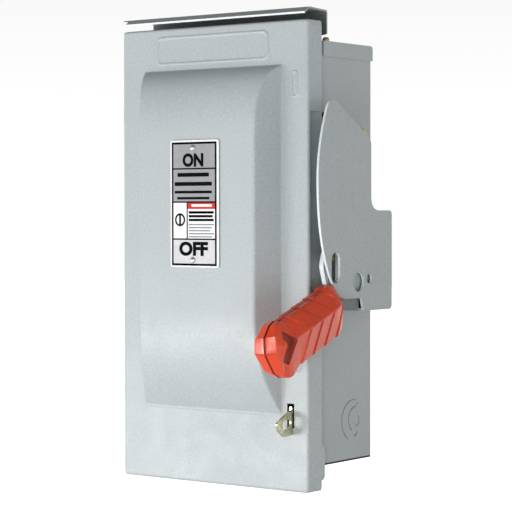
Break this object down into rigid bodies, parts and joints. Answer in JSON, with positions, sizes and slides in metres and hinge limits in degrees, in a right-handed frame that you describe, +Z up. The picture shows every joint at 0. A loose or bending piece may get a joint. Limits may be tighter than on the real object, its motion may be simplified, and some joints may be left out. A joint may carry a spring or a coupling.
{
  "type": "safety switch",
  "caption": "Wall-mounted grey steel safety switch with a hinged door, rain hood, guarded side handle with a moulded grip, and fused switch inside",
  "frame": {"origin": "centre of the door's outline projected on the wall plane, on the enclosure's back face", "axes": "+Z up, +Y into the wall, the door faces -Y, the handle is on the +X side"},
  "size_m": [0.2289, 0.1734, 0.3907],
  "materials": {
    "grey_paint": "light grey satin powder coat",
    "yellow_zinc": "yellow chromated zinc plate",
    "bright_steel": "bright zinc plate",
    "red_plastic": "moulded, half gloss",
    "black_plastic": "moulded thermoset, matte",
    "copper": "bare copper",
    "tinned_aluminium": "tin plated, satin",
    "fuse_tube": "paper tube with plated end caps",
    "clear_plastic": "clear polycarbonate",
    "printed_label": "printed aluminium plate"
  },
  "bodies": {
    "enclosure": {"box_shell": "grey_paint", "top_end_cap": "grey_paint", "bottom_end_wall": "grey_paint", "rain_hood": "grey_paint", "hub_closure_plate": "grey_paint", "hub_screw_1": "yellow_zinc", "hub_screw_2": "yellow_zinc", "cap_screw_1": "yellow_zinc", "cap_screw_2": "yellow_zinc", "hinge_leaf_upper": "grey_paint", "hinge_leaf_lower": "grey_paint", "hinge_pin_upper": "bright_steel", "hinge_pin_lower": "bright_steel", "handle_guard": "grey_paint", "stop_bolt": "yellow_zinc", "shaft_bearing": "yellow_zinc", "mechanism_frame": "yellow_zinc", "torsion_spring": "bright_steel", "line_base": "black_plastic", "fuse_base": "black_plastic", "line_jaw_1": "copper", "line_jaw_2": "copper", "hinge_jaw_1": "copper", "hinge_jaw_2": "copper", "line_lug_1": "tinned_aluminium", "line_lug_2": "tinned_aluminium", "line_lug_screw_1": "bright_steel", "line_lug_screw_2": "bright_steel", "load_lug_1": "tinned_aluminium", "load_lug_2": "tinned_aluminium", "load_lug_screw_1": "bright_steel", "load_lug_screw_2": "bright_steel", "fuse_clip_upper_1": "copper", "fuse_clip_upper_2": "copper", "fuse_clip_lower_1": "copper", "fuse_clip_lower_2": "copper", "fuse_1": "fuse_tube", "fuse_2": "fuse_tube", "line_shield": "clear_plastic", "ground_lug": "tinned_aluminium"},
    "door": {"door_panel": "grey_paint", "label_plate": "printed_label", "label_rivet_1": "bright_steel", "label_rivet_2": "bright_steel", "door_leaf_upper": "grey_paint", "door_leaf_lower": "grey_paint", "latch_bracket": "bright_steel"},
    "latch": {"latch_hasp": "yellow_zinc"},
    "handle": {"operating_shaft": "bright_steel", "handle_arm": "grey_paint", "pivot_nut": "yellow_zinc", "lock_tab": "yellow_zinc", "grip_outer_half": "red_plastic", "grip_inner_half": "red_plastic", "grip_screw_1": "bright_steel", "grip_screw_2": "bright_steel"},
    "link": {"drive_link": "yellow_zinc"},
    "blades": {"blade_1": "copper", "blade_2": "copper", "crossbar": "black_plastic"}
  },
  "joints": [
    {"name": "door_hinge", "type": "hinge", "parent": "enclosure", "child": "door", "pos_m": [-0.101, -0.074, 0], "axis": [0, 0, -1], "range_deg": [0, 110]},
    {"name": "latch_pivot", "type": "hinge", "parent": "door", "child": "latch", "pos_m": [0.081, -0.087, -0.126], "axis": [-1, 0, 0], "range_deg": [0, 12], "stiffness_Nm_per_rad": 0.05, "springref_deg": -11.46},
    {"name": "handle_pivot", "type": "hinge", "parent": "enclosure", "child": "handle", "pos_m": [0, -0.047, 0.054], "axis": [-1, 0, 0], "range_deg": [0, 74]},
    {"name": "link_pivot", "type": "hinge", "parent": "handle", "child": "link", "pos_m": [0.06, -0.0643, 0.05896], "axis": [-1, 0, 0], "range_deg": [-74, 0]},
    {"name": "blade_pivot", "type": "hinge", "parent": "enclosure", "child": "blades", "pos_m": [0, -0.035, 0.084], "axis": [-1, 0, 0], "range_deg": [0, 74]}
  ],
  "couplings": [
    {"joint": "link_pivot", "follows": "handle_pivot", "ratio": -1},
    {"joint": "blade_pivot", "follows": "handle_pivot", "ratio": 1}
  ]
}
